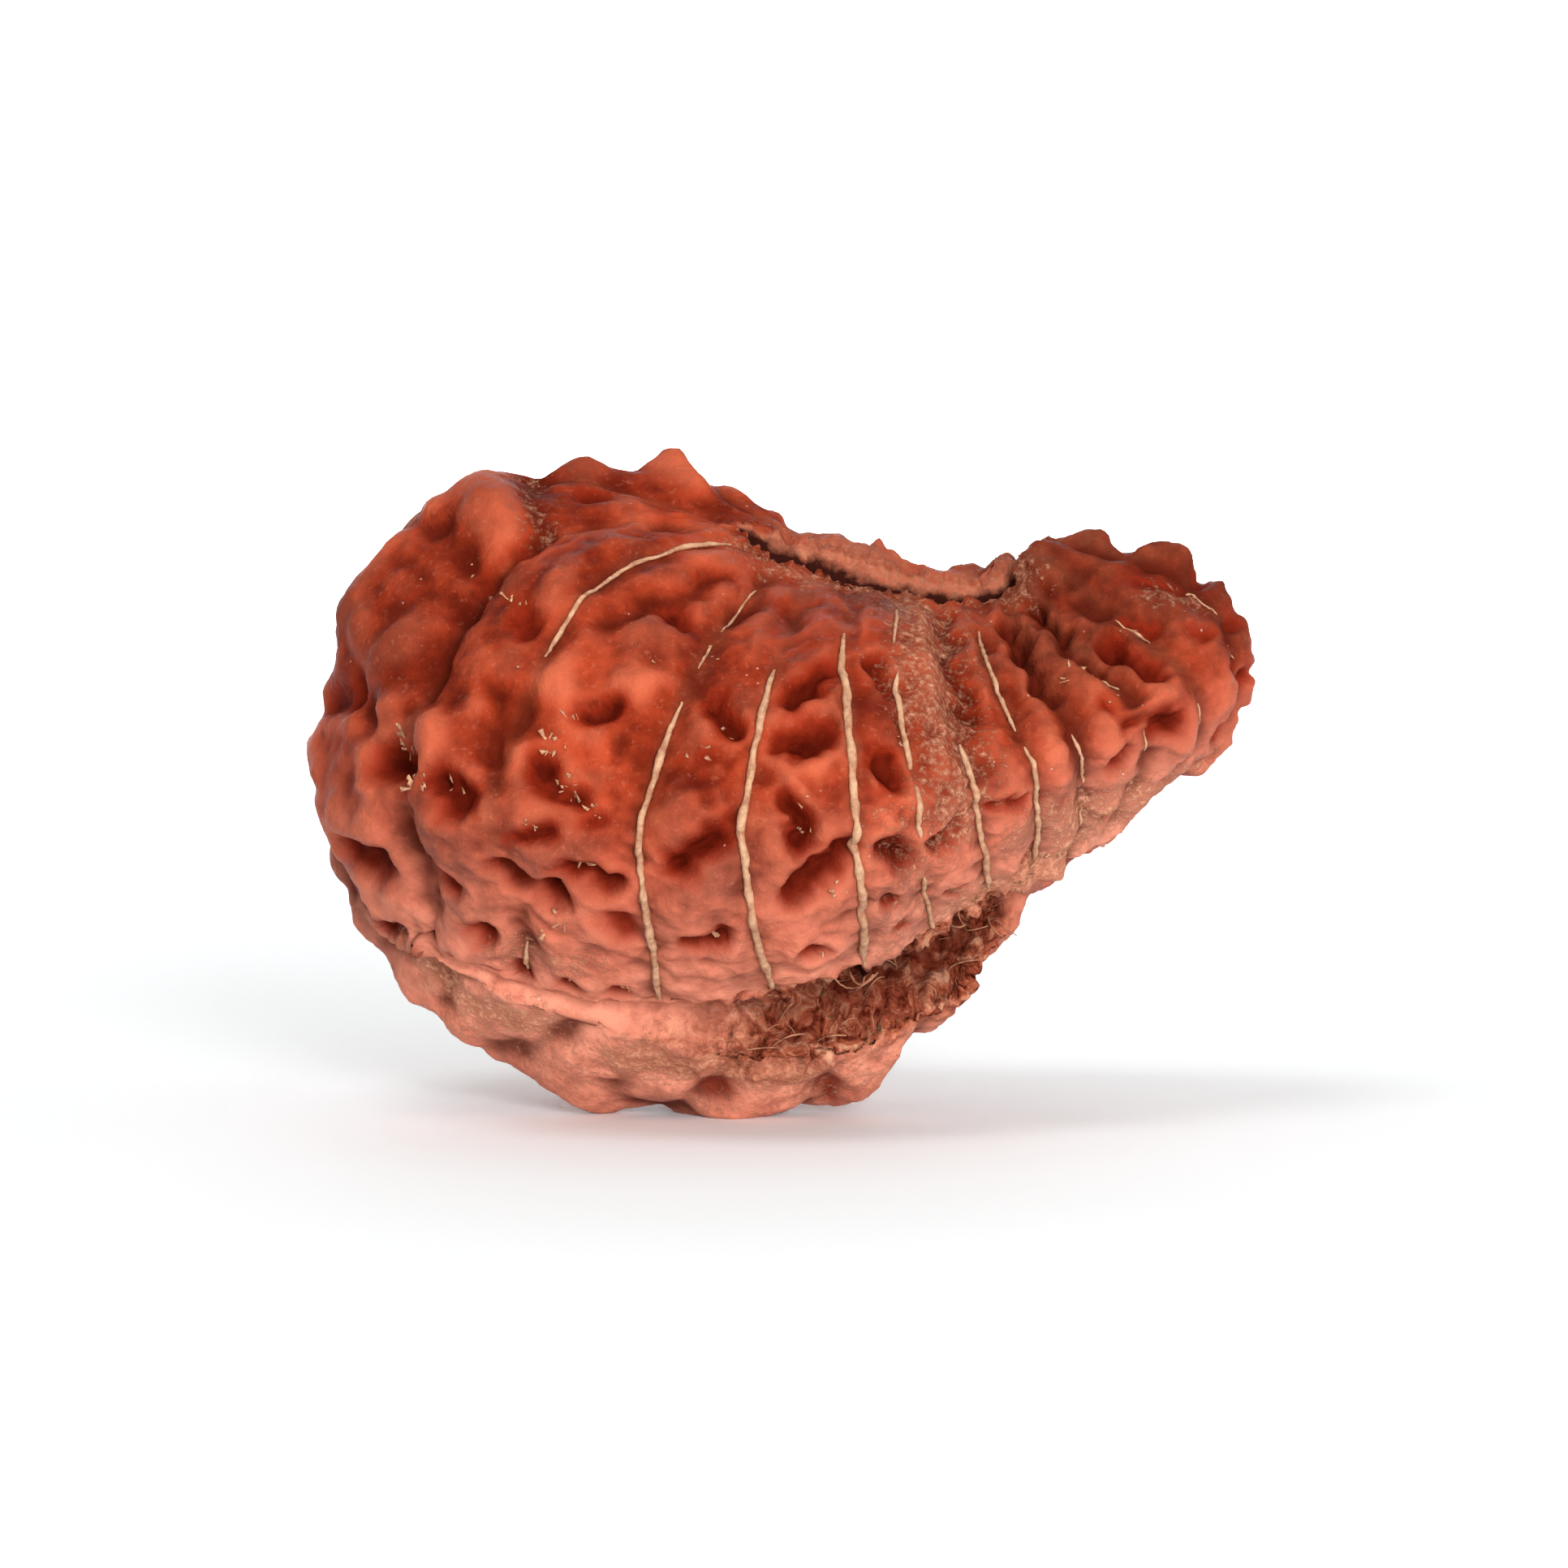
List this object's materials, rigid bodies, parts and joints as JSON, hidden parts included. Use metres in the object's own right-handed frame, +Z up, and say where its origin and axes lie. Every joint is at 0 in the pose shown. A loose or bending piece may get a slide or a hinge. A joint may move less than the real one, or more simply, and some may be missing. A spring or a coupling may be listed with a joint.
{
  "type": "twenty-two mukhi rudraksha",
  "caption": "Kidney-shaped rudraksha stone with pitted, ridged mukhis, a slit in its upper saddle and a torn hollow below, resting on a small flat spot.",
  "frame": {"origin": "middle of the stone's outline on the surface that it rests on", "axes": "+X along the stone's length towards its narrow end, +Y from the front mukhis to the back, +Z up"},
  "size_m": [0.0392, 0.0246, 0.0273],
  "materials": {
    "nut_shell": "smooth, waxy red-brown shell"
  },
  "bodies": {
    "root": {"rudraksha_stone": "nut_shell"}
  },
  "joints": []
}
